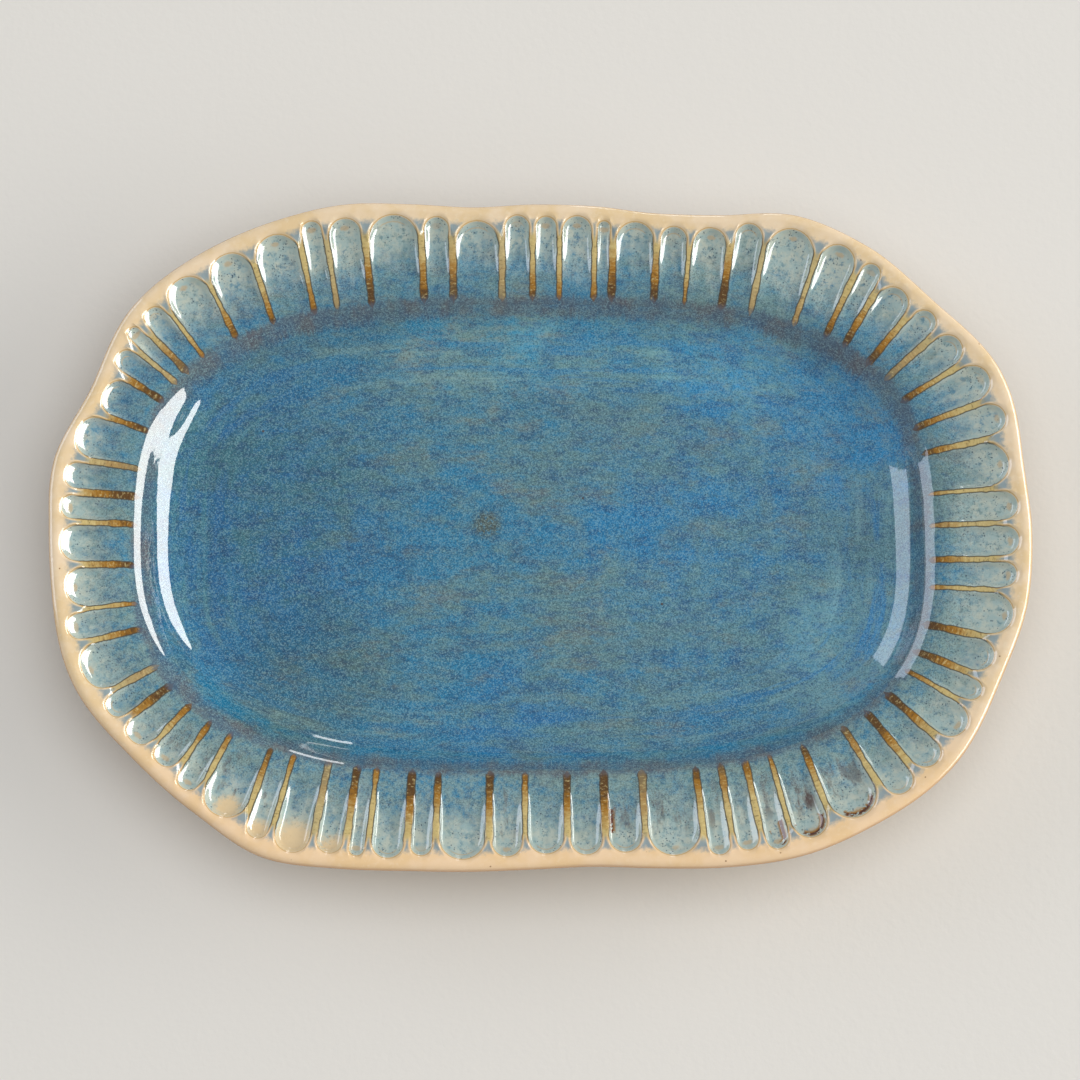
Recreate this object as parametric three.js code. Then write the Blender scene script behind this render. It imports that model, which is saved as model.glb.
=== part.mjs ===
// Oval stoneware serving platter with a broad rim of pressed flutes.
// Millimetres, +Z up, +X along the length, standing on its foot ring at z = 0.
import * as THREE from 'three';

// Shoulder line: the oval where the wall of the well starts to turn over into the rim
const shoulderLength = 304;
const shoulderWidth = 184;
const ovalPower = 3;

// Rim, measured outward from the shoulder line to the glazed edge
const rimWidth = 38;
const rimSlope = 0.22;
const rimThickness = 6.2;
const lipThickness = 5;
const lipBand = 5.5;
const lipBandWobble = 1.2;
const wobbleTurn = 2.4;

// Hand-pulled waves of the edge at equal steps of the shoulder line, clockwise from +Y
const rimWaves = [
  0.5, 0, -2, -0.5, 4.5, 2.5, -1.5, 2.5, 1, 2.5, 1.5, -2,
  1.5, 3, 5, 4, 2, 0.5, 1.5, 2.5, 3, 4.5, 5.5, -2,
  -6.5, -4.5, -4.5, -3.5, -3.5, -9.5, -3.5, -0.5, 2, 3.5, 1.5, -0.5,
];

// Flutes: widths along the shoulder line, ridge to ridge, clockwise from +Y
const flutePitches = [
  10.5, 13.5, 7, 16.5, 12, 14.5, 11.5, 17.5, 13, 8, 11.5, 9, 10.5, 11.5, 10.5, 16, 12.5,
  13.5, 10.5, 14.5, 11, 8, 11.5, 10.5, 10.5, 17, 13, 9.5, 9.5, 9.5, 20.5, 14.5, 14, 16,
  13.5, 19.5, 10, 13.5, 7.5, 11, 13.5, 9, 16, 9, 10, 10.5, 9, 15.5, 10, 15, 16, 11, 11,
  15, 13, 8.5, 6, 8.5, 14.5, 15.5, 16.5, 9, 13.5, 20.5, 11.5, 19, 12,
];
const fluteDepth = 2.4;
const flankWidth = 3.2;
const flankShare = 0.62;
const bottomRise = 0.12;
const runInShare = 0.3;
const endShare = 0.4;

// Well: floor, cove, straight wall and rounded shoulder
const wellDepth = 17.2;
const coveRadius = 22;
const wallAngle = 50;
const shoulderRadius = 10;
const slabThickness = 6;

// Underside wall, reaching in and out from the shoulder line, and foot ring
const backInset = 19;
const backReach = 12;
const footHeight = 5;
const footWidth = 8;
const footInset = 4;
const footTaper = 1;
const footChamfer = 0.8;

// Coats
const wellCoat = 1;
const poolCoat = 1;
const thinCoat = 0.4;
const backCoat = 0.5;
const recessCoat = 0.5;
const bondGap = 0.02;

// Facets
const loopColumns = 72;
const coveSteps = 3;
const shoulderSteps = 2;
const backSteps = 3;
const noseSteps = 2;
const curveDivisions = 2000;

// Heights of the clay's floor and of the rim's root, and the wall's slopes in radians
const floorTop = footHeight + slabThickness;
const rimRoot = floorTop + wellDepth;
const wallSlope = THREE.MathUtils.degToRad(wallAngle);
const rimLean = Math.atan(rimSlope);
const fluteStart = shoulderRadius * (Math.sin(wallSlope) - Math.sin(rimLean));
const up = [0, 1];
const down = [0, -1];

// The shoulder line is a superellipse, walked clockwise from +Y
class ShoulderLine extends THREE.Curve {
  getPoint(t, target = new THREE.Vector3()) {
    const x = Math.sin(2 * Math.PI * t);
    const y = Math.cos(2 * Math.PI * t);
    const sides = [2 * x / shoulderLength, 2 * y / shoulderWidth];
    const reach = sides.reduce((sum, side) => sum + Math.abs(side) ** ovalPower, 0) ** (-1 / ovalPower);
    return target.set(x * reach, y * reach, 0);
  }
}

const shoulder = new ShoulderLine();
shoulder.arcLengthDivisions = curveDivisions;
const shoulderRound = shoulder.getLength();
const waves = new THREE.CatmullRomCurve3(
  rimWaves.map((wave) => new THREE.Vector3(wave, 0, 0)), true, 'catmullrom');
const edgeAt = (u) => rimWidth + waves.getPoint(u).x;

// Point at fraction u round the shoulder line, out along its normal by v, at height z
function place(u, v, z) {
  const point = shoulder.getPointAt(u);
  const lean = (value, size) => Math.sign(value) * Math.abs(2 * value / size) ** (ovalPower - 1) / size;
  const normal = new THREE.Vector3(lean(point.x, shoulderLength), lean(point.y, shoulderWidth), 0);
  return point.addScaledVector(normal.normalize(), v).setZ(z);
}

// A clay point with the coat's two surfaces over it; facing is the coat's direction, across and up
function coatedPoint(u, v, z, coat, facing) {
  const over = (height) => place(u, v + height * facing[0], z + height * facing[1]);
  return { u, clay: over(0), bond: over(bondGap), glaze: over(coat) };
}

// S-curve of the underside: level at the start, at the rim's slope at the end
function backProfile(start, end, low, high) {
  const run = end - start;
  return (v) => {
    const t = (v - start) / run;
    return low + (high - low) * t * t * (3 - 2 * t) + rimSlope * run * t * t * (t - 1);
  };
}

const evenTurns = Array.from({ length: loopColumns }, (_, i) => i / loopColumns);
const stepsBetween = (from, to, count) =>
  Array.from({ length: count + 1 }, (_, i) => from + (to - from) * i / count);
const rimTop = (v) => rimRoot + rimSlope * (v - fluteStart);

// Triangles between two loops that run the same way round, facing left of inner to outer
function stitch(inner, outer) {
  const triangles = [];
  const at = (loop, i) => loop[i % loop.length];
  const turn = (loop, i) => at(loop, i).u + Math.floor(i / loop.length);
  let i = 0;
  let j = 0;
  while (i < inner.length || j < outer.length) {
    const innerNext = turn(inner, i) + turn(inner, i + 1);
    const outerNext = turn(outer, j) + turn(outer, j + 1);
    if (j === outer.length || (i < inner.length && innerNext <= outerNext)) {
      triangles.push([at(inner, i), at(inner, i + 1), at(outer, j)]);
      i += 1;
    } else {
      triangles.push([at(inner, i), at(outer, j + 1), at(outer, j)]);
      j += 1;
    }
  }
  return triangles;
}

const chain = (loops) => loops.slice(1).flatMap((loop, i) => stitch(loops[i], loop));

// Triangles from a loop to one middle point, facing up or down
function fan(loop, middle, facing) {
  return loop.map((point, i) => {
    const next = loop[(i + 1) % loop.length];
    return facing === up ? [middle, next, point] : [middle, point, next];
  });
}

// Loops of the well: up the cove, up the straight wall to the shoulder line, and over the shoulder
const shoulderDrop = shoulderRadius * (Math.cos(rimLean) - Math.cos(wallSlope));
const coveRise = coveRadius * (1 - Math.cos(wallSlope));
const straightRise = wellDepth - shoulderDrop - coveRise;
const floorEdge = -coveRadius * Math.sin(wallSlope) - straightRise / Math.tan(wallSlope);
const evenLoop = (v, z, coat) => evenTurns.map((u) => coatedPoint(u, v, z, coat, up));
const coveLoops = stepsBetween(0, wallSlope, coveSteps).map((slope) => evenLoop(
  floorEdge + coveRadius * Math.sin(slope), floorTop + coveRadius * (1 - Math.cos(slope)), wellCoat));
const shoulderLoops = stepsBetween(wallSlope, rimLean, shoulderSteps).map((slope) => evenLoop(
  shoulderRadius * (Math.sin(wallSlope) - Math.sin(slope)),
  rimRoot - shoulderRadius * (Math.cos(rimLean) - Math.cos(slope)), thinCoat));
const wellLoops = [...coveLoops, shoulderLoops[0]];

// One flute as columns across it: the ridge, the foot of each flank and the middle
function fluteColumns(start, end, index) {
  const pitch = (end - start) * shoulderRound;
  const middle = (start + end) / 2;
  const bottomEdge = 1 - Math.min(flankWidth, flankShare * pitch / 2) / (pitch / 2);
  const meanPitch = shoulderRound / flutePitches.length;
  const depth = fluteDepth * Math.min(1, pitch / meanPitch);
  const top = edgeAt(middle) - lipBand + lipBandWobble * Math.sin(wobbleTurn * index);
  const halfEnd = place(start, top, 0).distanceTo(place(end, top, 0)) / 2;
  const endRound = Math.min(halfEnd, endShare * (top - fluteStart));
  return [-1, -bottomEdge, 0, bottomEdge].map((across) => ({
    u: middle + across * (end - start) / 2,
    edge: top - endRound * (1 - Math.sqrt(1 - across * across)),
    endFlank: Math.min(flankWidth, endRound),
    sunk: across > -1 ? depth * (1 - bottomRise * Math.abs(across)) : 0,
    pooled: across > -1,
  }));
}

// Loops of the fluted band, from just past the shoulder to the scalloped flute ends
const pitchSum = flutePitches.reduce((sum, pitch) => sum + pitch, 0);
const ridges = [0];
flutePitches.forEach((pitch) => ridges.push(ridges.at(-1) + pitch / pitchSum));
const columns = flutePitches.flatMap((_, i) => fluteColumns(ridges[i], ridges[i + 1], i));
const ridgeLoop = (vOf, sinks) => columns.map((column) => {
  const v = vOf(column);
  const coat = sinks && column.pooled ? poolCoat : thinCoat;
  return coatedPoint(column.u, v, rimTop(v) - (sinks ? column.sunk : 0), coat, up);
});
const flutesFoot = (column) => column.edge - column.endFlank;
const bandLoops = [
  ridgeLoop((column) => fluteStart + runInShare * (flutesFoot(column) - fluteStart), true),
  ridgeLoop(flutesFoot, true),
  ridgeLoop((column) => column.edge, false),
];
const scallopLoop = bandLoops.at(-1);

// Loops of the lip's half-round nose, from its top to its underside
const lipRadius = lipThickness / 2;
const lipTurns = flutePitches.flatMap((_, i) => [ridges[i], (ridges[i] + ridges[i + 1]) / 2]);
function nosePoint(u, angle) {
  const facing = [Math.cos(angle), Math.sin(angle)];
  const centre = edgeAt(u) - thinCoat - lipRadius;
  const z = rimTop(centre) - lipRadius + lipRadius * facing[1];
  return coatedPoint(u, centre + lipRadius * facing[0], z, thinCoat, facing);
}
const noseLoops = stepsBetween(Math.PI / 2, -Math.PI / 2, noseSteps).map((angle) =>
  lipTurns.map((u) => nosePoint(u, angle)));
const underLipLoop = noseLoops.at(-1);

// Loops of the underside, from under the lip to the foot
const wallBack = backProfile(-backInset, backReach, footHeight, rimTop(backReach) - rimThickness);
const footOuter = -backInset - footInset;
const footInner = footOuter - footWidth;
const backLoops = stepsBetween(backReach, -backInset, backSteps).map((v) =>
  evenTurns.map((u) => coatedPoint(u, v, wallBack(v), backCoat, down)));
const footOuterLoop = evenTurns.map((u) => coatedPoint(u, footOuter, footHeight, backCoat, down));
const footInnerLoop = evenTurns.map((u) => coatedPoint(u, footInner, footHeight, recessCoat, down));

// Middle points of the floor and of the recess inside the foot
function middlePoint(z, coat, facing) {
  const over = (height) => new THREE.Vector3(0, 0, z + height * facing[1]);
  return { clay: over(0), bond: over(bondGap), glaze: over(coat) };
}
const floorMiddle = middlePoint(floorTop, wellCoat, up);
const recessMiddle = middlePoint(footHeight, recessCoat, down);

// The platter's whole skin in five coated stretches and the bare seat of the foot
const wellSkin = [...fan(wellLoops[0], floorMiddle, up), ...chain(wellLoops)];
const fluteSkin = chain([...shoulderLoops, ...bandLoops]);
const lipSkin = chain([scallopLoop, ...noseLoops]);
const underSkin = chain([underLipLoop, ...backLoops, footOuterLoop]);
const recessSkin = fan(footInnerLoop, recessMiddle, down);
const footSeat = stitch(footOuterLoop, footInnerLoop);

// The side faces that close a coat along the open edges of its stretch
function coatSides(skin) {
  const edges = new Map();
  const keys = new Map();
  const key = (point) => keys.get(point) ?? keys.set(point, keys.size).get(point);
  skin.forEach((triangle) => triangle.forEach((from, i) => {
    const to = triangle[(i + 1) % 3];
    const back = `${key(to)} ${key(from)}`;
    if (!edges.delete(back)) edges.set(`${key(from)} ${key(to)}`, [from, to]);
  }));
  return [...edges.values()].flatMap(([from, to]) => [
    [to.glaze, from.glaze, from.bond],
    [to.glaze, from.bond, to.bond],
  ]);
}

const surface = (skin, side) => skin.map((triangle) => triangle.map((point) => point[side]));
const coatFaces = (skin) => [
  ...surface(skin, 'glaze'),
  ...surface(skin, 'bond').map((triangle) => triangle.toReversed()),
  ...coatSides(skin),
];

// The bare foot ring: a tapered section with chamfered edges
function footRingFaces() {
  const section = [
    [footOuter - footTaper, footChamfer],
    [footOuter - footTaper - footChamfer, 0],
    [footInner + footTaper + footChamfer, 0],
    [footInner + footTaper, footChamfer],
  ];
  const bare = section.map(([v, z]) => evenTurns.map((u) => coatedPoint(u, v, z, 0, down)));
  return surface(chain([footOuterLoop, ...bare, footInnerLoop, footOuterLoop]), 'clay');
}

function makeMesh(name, faces, look) {
  const geometry = new THREE.BufferGeometry().setFromPoints(faces.flat());
  geometry.computeVertexNormals();
  const mesh = new THREE.Mesh(geometry, new THREE.MeshStandardMaterial({ metalness: 0, ...look }));
  mesh.name = name;
  return mesh;
}

const wholeSkin = [...wellSkin, ...fluteSkin, ...lipSkin, ...underSkin, ...footSeat, ...recessSkin];
const bareClay = { color: '#b08d6a', roughness: 0.85 };
const tanGlaze = { color: '#c3ab8c', roughness: 0.3 };

const platter = new THREE.Group();
platter.add(
  makeMesh('stoneware_body', surface(wholeSkin, 'clay'), bareClay),
  makeMesh('foot_ring', footRingFaces(), bareClay),
  makeMesh('well_glaze', coatFaces(wellSkin), { color: '#7d8f98', roughness: 0.22 }),
  makeMesh('flute_glaze', coatFaces(fluteSkin), { color: '#8c9eaf', roughness: 0.25 }),
  makeMesh('lip_glaze', coatFaces(lipSkin), tanGlaze),
  makeMesh('underside_glaze', coatFaces(underSkin), tanGlaze),
  makeMesh('foot_recess_glaze', coatFaces(recessSkin), tanGlaze),
);

// The middle of the uneven outline is the platter's origin
const outline = new THREE.Box3().setFromObject(platter);
const middle = outline.getCenter(new THREE.Vector3());
platter.position.set(-middle.x, -middle.y, 0);

export default platter;
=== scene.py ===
import math
import bpy
import numpy as np
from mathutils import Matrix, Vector


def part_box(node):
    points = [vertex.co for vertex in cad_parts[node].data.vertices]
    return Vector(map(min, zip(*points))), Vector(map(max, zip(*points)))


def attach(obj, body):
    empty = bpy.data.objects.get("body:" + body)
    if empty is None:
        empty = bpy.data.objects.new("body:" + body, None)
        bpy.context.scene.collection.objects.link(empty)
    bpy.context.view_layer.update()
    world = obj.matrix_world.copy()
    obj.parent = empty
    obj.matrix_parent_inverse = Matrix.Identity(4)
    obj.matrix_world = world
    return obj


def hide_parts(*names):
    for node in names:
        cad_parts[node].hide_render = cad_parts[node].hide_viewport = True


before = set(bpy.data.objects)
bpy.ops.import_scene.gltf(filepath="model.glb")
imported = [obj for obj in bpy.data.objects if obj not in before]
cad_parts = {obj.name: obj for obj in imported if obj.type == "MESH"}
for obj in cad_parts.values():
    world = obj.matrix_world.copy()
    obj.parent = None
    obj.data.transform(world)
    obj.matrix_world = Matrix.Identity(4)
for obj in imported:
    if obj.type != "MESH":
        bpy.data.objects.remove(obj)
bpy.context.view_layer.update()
print("frame loaded:", sorted(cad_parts))

# Shapes are in millimetres about the middle of the oval; meshes are in metres in the CAD frame
wellLow, wellHigh = (1000 * np.array(corner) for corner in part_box("well_glaze"))
oval = {
    "centre": (wellLow + wellHigh)[:2] / 2,
    "size": (wellHigh - wellLow)[:2],  # the line where the wall of the well turns over into the rim
    "power": 3.0,
    "tableSteps": 14400,
    "bendStep": 0.002,  # share of its length to either side over which its bend is measured
}


def ovalFrom(angle):
    # superellipse |2x/L|^n + |2y/W|^n = 1, met by a ray at this angle clockwise from +Y
    heading = np.stack([np.sin(angle), np.cos(angle)], -1)
    reach = (np.abs(2 * heading / oval["size"]) ** oval["power"]).sum(-1) ** (-1 / oval["power"])
    return heading * reach[..., None]


ovalAngle = np.linspace(0, 2 * np.pi, oval["tableSteps"] + 1)
ovalRun = np.concatenate([[0], np.cumsum(np.hypot(*np.diff(ovalFrom(ovalAngle), axis=0).T))])
ovalLength = ovalRun[-1]


def ovalAt(u):
    # point and outward unit normal at the share u of the oval's length
    point = ovalFrom(np.interp(u % 1, ovalRun / ovalLength, ovalAngle))
    lean = np.sign(point) * np.abs(2 * point / oval["size"]) ** (oval["power"] - 1) / oval["size"]
    return point, lean / np.linalg.norm(lean, axis=-1, keepdims=True)


def ovalBend(u):
    # how fast the normal turns, per millimetre of the oval
    step = oval["bendStep"]
    turn = ovalAt(u + step)[1] - ovalAt(u - step)[1]
    return np.linalg.norm(turn, axis=-1) / (2 * step * ovalLength)


def easeBetween(low, high, x):
    # 0 at low and 1 at high, with a smooth start and end
    t = np.clip((x - low) / (high - low), 0, 1)
    return t * t * (3 - 2 * t)


rim = {
    "width": 38.0,  # out from the oval to the glazed edge
    "slope": 0.22,
    "waves": [
        0.5, 0, -2, -0.5, 4.5, 2.5, -1.5, 2.5, 1, 2.5, 1.5, -2,
        1.5, 3, 5, 4, 2, 0.5, 1.5, 2.5, 3, 4.5, 5.5, -2,
        -6.5, -4.5, -4.5, -3.5, -3.5, -9.5, -3.5, -0.5, 2, 3.5, 1.5, -0.5,
    ],  # hand-pulled edge, at equal steps clockwise from +Y
}


def rimEdge(u):
    # closed Catmull-Rom curve through the waves
    waves = np.array(rim["waves"])
    spot = u % 1 * len(waves)
    index = spot.astype(int)
    t = spot - index
    before, start, end, after = (waves[(index + k) % len(waves)] for k in (-1, 0, 1, 2))
    bow = 2 * before - 5 * start + 4 * end - after
    twist = 3 * (start - end) + after - before
    return rim["width"] + start + t / 2 * (end - before + t * (bow + t * twist))


well = {
    "floor": 11.6,
    "depth": 17.9,
    "coveRadius": 27.0,
    "wallAngle": 47.0,
    "shoulderRadius": 16.0,
    "setIn": 0.4,  # the wall stands this far inside the oval
    "ringHeight": 0.05,  # faint rings round the floor
    "ringStep": 9.0,
    "ringReach": 100.0,  # in the finish, the middle of the floor counts as this far in from its edge
    "wavers": [(0.25, 7, 0.2), (0.18, 13, 0.6)],  # push, waves round the oval, and where they start
    "waverPlace": (-9.0, 7.0),  # out from the oval, and the spread to either side
    "touches": [
        (0.855, 0.03, -1.0, 12.0, -2.5),
        (0.812, 0.012, -5.0, 3.5, -1.0),
        (0.672, 0.05, -8.0, 12.0, -3.8),
        (0.245, 0.045, -9.0, 7.0, 1.0),
        (0.345, 0.04, -10.0, 8.0, -1.0),
    ],  # where the hand leaned on the wall: turn and its spread, place on the wall and its spread, push
}
rimLean = math.atan(rim["slope"])
wallLean = math.radians(well["wallAngle"])
coveRise = well["coveRadius"] * (1 - math.cos(wallLean))
shoulderRise = well["shoulderRadius"] * (math.cos(rimLean) - math.cos(wallLean))
shoulderEnd = well["shoulderRadius"] * (math.sin(wallLean) - math.sin(rimLean))
coveEnd = -(well["depth"] - coveRise - shoulderRise) / math.tan(wallLean)
floorEdge = coveEnd - well["coveRadius"] * math.sin(wallLean)


def handWorked(u, v):
    # the wall wavers in and out as it goes round, and is pushed out of true by a few touches
    middle, reach = well["waverPlace"]
    wander = sum(size * np.sin(2 * np.pi * (count * u + start)) for size, count, start in well["wavers"])
    push = wander * np.exp(-(((v - middle) / reach) ** 2))
    for turn, turnSpread, spot, spotSpread, amount in well["touches"]:
        push = push + amount * np.exp(-(((u - turn) / turnSpread) ** 2) - ((v - spot) / spotSpread) ** 2)
    return v - push + well["setIn"]


def wallHeight(v):
    # level floor, cove arc, straight wall and shoulder arc, then the sloping rim
    coveSine = np.clip((v - floorEdge) / well["coveRadius"], 0, math.sin(wallLean))
    shoulderSine = math.sin(wallLean) - v / well["shoulderRadius"]
    shoulderSine = np.clip(shoulderSine, math.sin(rimLean), math.sin(wallLean))
    cove = well["floor"] + well["coveRadius"] * (1 - np.sqrt(1 - coveSine ** 2))
    straight = math.tan(wallLean) * np.clip(v - coveEnd, 0, -coveEnd)
    shoulder = well["shoulderRadius"] * (np.sqrt(1 - shoulderSine ** 2) - math.cos(wallLean))
    return cove + straight + shoulder + rim["slope"] * np.maximum(v - shoulderEnd, 0)


flutes = {
    "pitches": [
        10.5, 13.5, 7, 16.5, 12, 14.5, 11.5, 17.5, 13, 8, 11.5, 9, 10.5, 11.5, 10.5, 16, 12.5,
        13.5, 10.5, 14.5, 11, 8, 11.5, 10.5, 10.5, 17, 13, 9.5, 9.5, 9.5, 20.5, 14.5, 14, 16,
        13.5, 19.5, 10, 13.5, 7.5, 11, 13.5, 9, 16, 9, 10, 10.5, 9, 15.5, 10, 15, 16, 11, 11,
        15, 13, 8.5, 6, 8.5, 14.5, 15.5, 16.5, 9, 13.5, 20.5, 11.5, 19, 12,
    ],  # ridge to ridge, clockwise from +Y
    "start": 1.0,  # the rows that follow the flutes begin this far past the shoulder
    "depth": 2.4,
    "runIn": (1.5, 29.0),  # out from the oval: where the depth starts and where it is full
    "landHalf": 1.2,  # half the flat top of a ridge
    "landDrop": 0.16,  # how far the ridge rounds off to its edges
    "landFade": 0.9,  # how soon that stops past the scallop line
    "landFall": 0.9,  # how far the ridges lie below the lip
    "fallStart": 12.0,  # they have sunk so far at this distance past the shoulder
    "fallEnd": (2.4, -0.6),  # past the scallop line: where they are level with the lip, and where sunk
    "flank": 2.0,  # width of a flute's side, before the leans below
    "flankLimit": 0.75,  # the most of a flute's half width that a flank takes
    "flankPower": 2.0,
    "flankLean": 1.3,  # how much wider a flank is where the tool leaned on it
    "endLean": 1.2,
    "leanY": (-0.8, -0.2),  # it leaned where the outward normal's y, or its x, is past these
    "leanX": (-0.1, -0.5),
    "frontTilt": 0.45,  # how much steeper the -X flanks are than the others on the front right
    "frontY": (0.2, -0.6),  # the front right, by the outward normal's y and x
    "frontX": (-0.3, 0.0),
    "edgeSoft": 0.22,  # how softly a flank starts at the outline
    "bowl": 0.16,  # share of the depth that is a bowl, and not flank
    "endShallow": (0.9, 0.1),  # share of the depth left at the outer end, and how it changes with the side
    "endRun": (9.0, -1.0),  # in from the outer end: where that starts, and where it is full
    "bead": 0.22,  # raised line round a flute's outer end
    "beadWidth": 0.7,
    "beadRun": (-4.0, 2.0),  # it rises between these, out from the centre of the round end
    "endShare": 0.4,  # the most of a flute's length that its round end takes
    "endSquare": 0.3,  # how much squarer the ends are on the -X side
    "lipBand": 5.3,  # from the flutes' ends to the glazed edge
    "lipWobble": 0.7,  # how far that differs, and its turn in radians from flute to flute
    "wobbleTurn": 2.4,
    "toolPlace": 3.0,  # mark of the tool's tip, in from the outer end
    "toolSize": (1.2, 1.7),
    "acrossSteps": 17,
    "seed": 7,
}
pitches = np.array(flutes["pitches"])
ridgeTurns = np.concatenate([[0], np.cumsum(pitches)]) / pitches.sum()
fluteTurns = (ridgeTurns[:-1] + ridgeTurns[1:]) / 2
fluteHalf = np.diff(ridgeTurns) * ovalLength / 2
fluteShare = 1 - flutes["landHalf"] / fluteHalf  # the trough's part of the pitch
fluteBend = ovalBend(fluteTurns)
wobble = np.sin(flutes["wobbleTurn"] * np.arange(len(pitches)))
fluteTop = rimEdge(fluteTurns) - flutes["lipBand"] + flutes["lipWobble"] * wobble
halfAtTop = fluteShare * fluteHalf * (1 + fluteBend * fluteTop)
endRound = np.minimum(halfAtTop, flutes["endShare"] * (fluteTop - shoulderEnd))
endCentre = fluteTop - endRound
endPower = 2 + flutes["endSquare"] * np.maximum(-ovalAt(fluteTurns)[1][:, 0], 0)
fluteDepth = flutes["depth"] * np.minimum(1, pitches / pitches.mean())
fluteSeed = np.random.default_rng(flutes["seed"]).random(len(pitches))

# Columns across each flute: ridge crest, half land, the trough edge to edge, half land
halfLand = (1 + fluteShare[:, None]) / 2
troughSteps = fluteShare[:, None] * np.sin(np.pi / 2 * np.linspace(-1, 1, flutes["acrossSteps"]))
acrossGrid = np.hstack([np.full_like(halfLand, -1), -halfLand, troughSteps, halfLand])
columnsPerFlute = acrossGrid.shape[1]
across = acrossGrid.ravel()
columnU = (fluteTurns[:, None] + acrossGrid * np.diff(ridgeTurns)[:, None] / 2).ravel()
perColumn = {
    name: np.repeat(values, columnsPerFlute)
    for name, values in {
        "share": fluteShare, "half": fluteHalf, "bend": fluteBend, "round": endRound,
        "centre": endCentre, "top": fluteTop, "depth": fluteDepth, "seed": fluteSeed, "power": endPower,
    }.items()
}
nextSeed = np.repeat(np.roll(fluteSeed, -1), columnsPerFlute)
columnPoint, columnNormal = ovalAt(columnU)
columnEdge = rimEdge(columnU)
topLine = np.interp(columnU, fluteTurns, fluteTop, period=1)


def scallopLine():
    # round end over each trough; the crests end midway between their two flutes' end centres
    inside = np.clip(np.abs(across / perColumn["share"]), 0, 1)
    bulge = (1 - inside ** perColumn["power"]) ** (1 / perColumn["power"])
    line = (perColumn["centre"] + perColumn["round"] * bulge).reshape(acrossGrid.shape)
    line[:, 0] = (endCentre + np.roll(endCentre, 1)) / 2
    line[:, 1] = (line[:, 0] + endCentre) / 2
    line[:, -1] = (np.roll(line[:, 0], -1) + endCentre) / 2
    return line.ravel()


scallop = scallopLine()


def insideFlute(v):
    # share of the way from the flute's middle to its outline, and the distance in from the outline,
    # which is negative on the ridges and the lip
    lengthwise = np.maximum(v - perColumn["centre"], 0) / perColumn["round"]
    sidelong = np.abs(across / perColumn["share"])
    rho = (sidelong ** perColumn["power"] + lengthwise ** perColumn["power"]) ** (1 / perColumn["power"])
    half = perColumn["share"] * perColumn["half"] * (1 + perColumn["bend"] * v)
    return rho, (1 - rho) * half, half


def flankWidth(v, rho):
    # wider where the tool leaned on the flank, and uneven from side to side on the front right
    normalX, normalY = columnNormal.T
    clear = np.maximum(rho, 0.01)  # keeps off the division by zero in the middle
    sideways = across / perColumn["share"] / clear
    endways = np.maximum(v - perColumn["centre"], 0) / perColumn["round"] / clear
    lean = np.clip(-sideways * normalY - endways * normalX, 0, 1)
    lean *= np.maximum(easeBetween(*flutes["leanY"], normalY), easeBetween(*flutes["leanX"], normalX))
    width = flutes["flank"] + lean * (flutes["flankLean"] + flutes["endLean"] * endways ** 2)
    front = easeBetween(*flutes["frontY"], normalY) * easeBetween(*flutes["frontX"], normalX)
    return width * (1 - flutes["frontTilt"] * front * sideways)


def rimSurface(v):
    # sloping rim less the trough: a flank easing into a shallow bowl, fading in past the shoulder
    # and shallower at its outer end, all a little below the lip
    rho, inset, half = insideFlute(v)
    t = np.clip(inset / np.minimum(flankWidth(v, rho), flutes["flankLimit"] * half), 0, 1)
    t = t * t / (t + flutes["edgeSoft"]) * (1 + flutes["edgeSoft"])
    flank = 1 - (1 - t) ** flutes["flankPower"]
    bowl = np.maximum(1 - rho ** 2, 0)
    trough = perColumn["depth"] * ((1 - flutes["bowl"]) * flank + flutes["bowl"] * bowl)
    endDepth = flutes["endShallow"][0] + flutes["endShallow"][1] * columnNormal[:, 0]
    trough *= 1 - (1 - endDepth) * easeBetween(*flutes["endRun"], perColumn["top"] - v)
    fall = flutes["landFall"] * easeBetween(*flutes["fallEnd"], v - scallop)
    fall *= easeBetween(shoulderEnd, shoulderEnd + flutes["fallStart"], v)
    land = np.clip((1 - np.abs(across)) / (1 - perColumn["share"]), 0, 1)
    beyond = np.maximum(v - scallop, 0)
    rounded = flutes["landDrop"] * land ** 2 * np.exp(-((beyond / flutes["landFade"]) ** 2))
    bead = flutes["bead"] * np.exp(-(((inset + flutes["beadWidth"]) / flutes["beadWidth"]) ** 2))
    beadFrom, beadFull = flutes["beadRun"]
    bead *= easeBetween(perColumn["centre"] + beadFrom, perColumn["centre"] + beadFull, v)
    pressed = easeBetween(*flutes["runIn"], v) * (trough + rounded)
    return wallHeight(handWorked(columnU, v)) + bead - fall - pressed


lip = {"roll": 3.5, "half": 2.9}  # oval section of the rolled edge, across and up
back = {
    "rimThickness": 6.7,
    "reach": 12.0,  # out from the oval, where the curve of the underside ends
    "inset": 19.0,  # and in from it, where the curve starts
    "foot": 4.5,  # height of the underside there
}
foot = {"inset": 4.0, "width": 8.0, "taper": 1.0, "round": 0.9, "height": 5.0, "arcSteps": 6}
footOuter = -back["inset"] - foot["inset"]
footInner = footOuter - foot["width"]
rowCounts = {
    "floor": 26, "wall": 26, "shoulder": 9, "flutes": 38,
    "lip": 10, "nose": 14, "underRim": 10, "backWall": 20,
}
rowCrowding = {"flutes": 1.6, "lip": 1.4}  # above 1, the rows lie closer near the scallop line


def spread(count, first=0):
    # even shares from 0 to 1, as a column
    return np.linspace(0, 1, count + 1)[first:, None]


def backHeight(v):
    # S-curve up from the foot, level below and at the rim's slope above
    run = back["reach"] + back["inset"]
    t = (v + back["inset"]) / run
    high = wallHeight(np.float64(back["reach"])) - back["rimThickness"]
    rise = (high - back["foot"]) * t * t * (3 - 2 * t)
    return back["foot"] + rise + rim["slope"] * run * t * t * (t - 1)


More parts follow.
